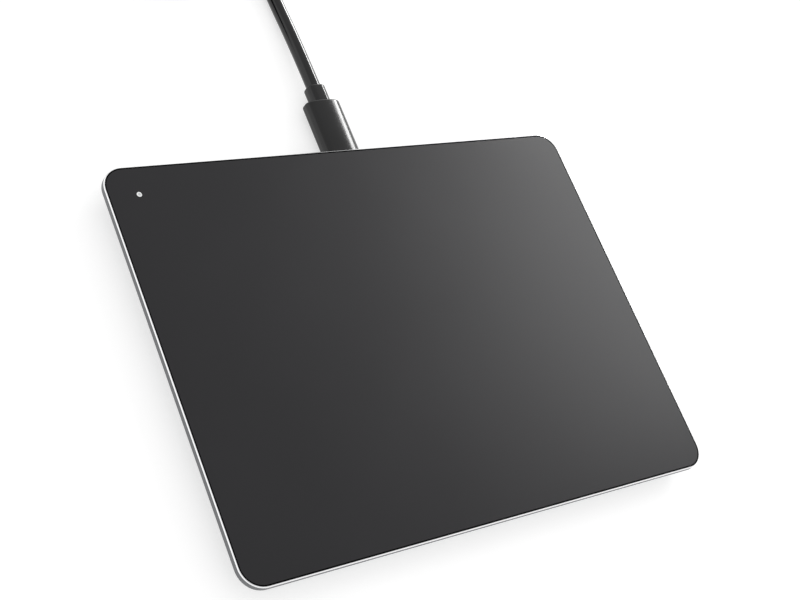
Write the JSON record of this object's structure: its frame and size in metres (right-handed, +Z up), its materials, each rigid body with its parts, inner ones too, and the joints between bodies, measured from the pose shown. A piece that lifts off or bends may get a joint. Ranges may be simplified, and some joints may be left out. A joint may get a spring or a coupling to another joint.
{
  "type": "wired trackpad",
  "caption": "Desk trackpad: dark glass touch plate hinged at the rear in a thin metal frame, with a click switch under its front edge and a coiled lead with a reversible plug.",
  "frame": {"origin": "on the desk, under the middle of the pad, at the bottom of its four feet", "axes": "+X to the user's right along the long side, +Y to the rear, where the lead leaves, +Z up"},
  "size_m": [0.2076, 0.2515, 0.011],
  "materials": {
    "anodised_aluminium": "bead blasted and anodised, with a cut and polished bevel",
    "silver_moulding": "fine moulded texture, silver grey",
    "screw_steel": "turned, zinc plated",
    "foot_rubber": "matt, lightly dusted",
    "circuit_board": "solder mask, satin",
    "plated_steel": "nickel plated, drawn",
    "black_polymer": "moulded, satin",
    "gold_plating": "thin gold over nickel",
    "chip_epoxy": "moulded epoxy, fine matt",
    "ceramic": "fired, satin",
    "socket_nylon": "moulded, natural white",
    "ribbon_film": "polyimide film, amber",
    "spring_steel": "rolled and stamped, bright",
    "insert_brass": "turned and knurled",
    "tinted_glass": "back printed black, etched to a satin face",
    "bonding_film": "black foam tape",
    "switch_moulding": "moulded, satin",
    "plunger_moulding": "moulded, natural",
    "clear_acrylic": "clear, faintly milky",
    "light_resin": "cast resin over a small chip",
    "plug_elastomer": "overmoulded, smooth and slightly glossy",
    "cable_jacket": "extruded jacket, smooth and slightly glossy",
    "tie_fabric": "woven strap of hooks and loops"
  },
  "bodies": {
    "base": {"frame": "anodised_aluminium", "bottom_cover": "silver_moulding", "cover_screws": "screw_steel", "board_screws": "screw_steel", "anvil_screw": "screw_steel", "foot_front_left": "foot_rubber", "foot_front_right": "foot_rubber", "foot_rear_left": "foot_rubber", "foot_rear_right": "foot_rubber", "main_board": "circuit_board", "usb_receptacle_shell": "plated_steel", "clock_crystal": "plated_steel", "usb_receptacle_tongue": "black_polymer", "usb_receptacle_contacts": "gold_plating", "usb_controller_chip": "chip_epoxy", "voltage_regulator": "chip_epoxy", "main_board_passives": "ceramic", "main_ribbon_socket": "socket_nylon", "sensor_ribbon": "ribbon_film", "hinge_bracket_left": "spring_steel", "hinge_bracket_right": "spring_steel", "anvil_insert": "insert_brass"},
    "touch_deck": {"touch_glass": "tinted_glass", "glass_adhesive": "bonding_film", "sensor_board": "circuit_board", "stiffener_plate": "spring_steel", "hinge_pin_left": "spring_steel", "hinge_pin_right": "spring_steel", "touch_controller_chip": "chip_epoxy", "sensor_board_passives": "ceramic", "sensor_ribbon_socket": "socket_nylon", "click_switch_housing": "switch_moulding", "click_switch_dome": "spring_steel", "status_light_pin": "clear_acrylic", "status_light_chip": "light_resin"},
    "switch_plunger": {"click_switch_plunger": "plunger_moulding"},
    "usb_lead": {"cable": "cable_jacket", "cable_coil": "cable_jacket", "cable_tail": "cable_jacket", "cable_tie": "tie_fabric", "usb_c_plug_shell": "plated_steel", "usb_c_plug_insulator": "black_polymer", "usb_c_grip": "plug_elastomer", "usb_c_boot": "plug_elastomer", "usb_a_boot": "plug_elastomer", "usb_a_grip": "plug_elastomer", "usb_a_shell": "plated_steel", "usb_a_core": "black_polymer", "usb_a_contacts": "gold_plating"}
  },
  "joints": [
    {"name": "deck_click", "type": "hinge", "parent": "base", "child": "touch_deck", "pos_m": [0, 0.05, 0.0039], "axis": [1, 0, 0], "range_deg": [0, 0.149], "stiffness_Nm_per_rad": 20, "springref_deg": -0.34},
    {"name": "plunger_slide", "type": "slide", "parent": "touch_deck", "child": "switch_plunger", "axis": [0, 0, 1], "range_m": [0, 0.00026]},
    {"name": "lead_pull", "type": "slide", "parent": "base", "child": "usb_lead", "axis": [0, 1, 0], "range_m": [0, 0.012]}
  ],
  "couplings": [
    {"joint": "plunger_slide", "follows": "deck_click", "m_per_rad": 0.096}
  ]
}
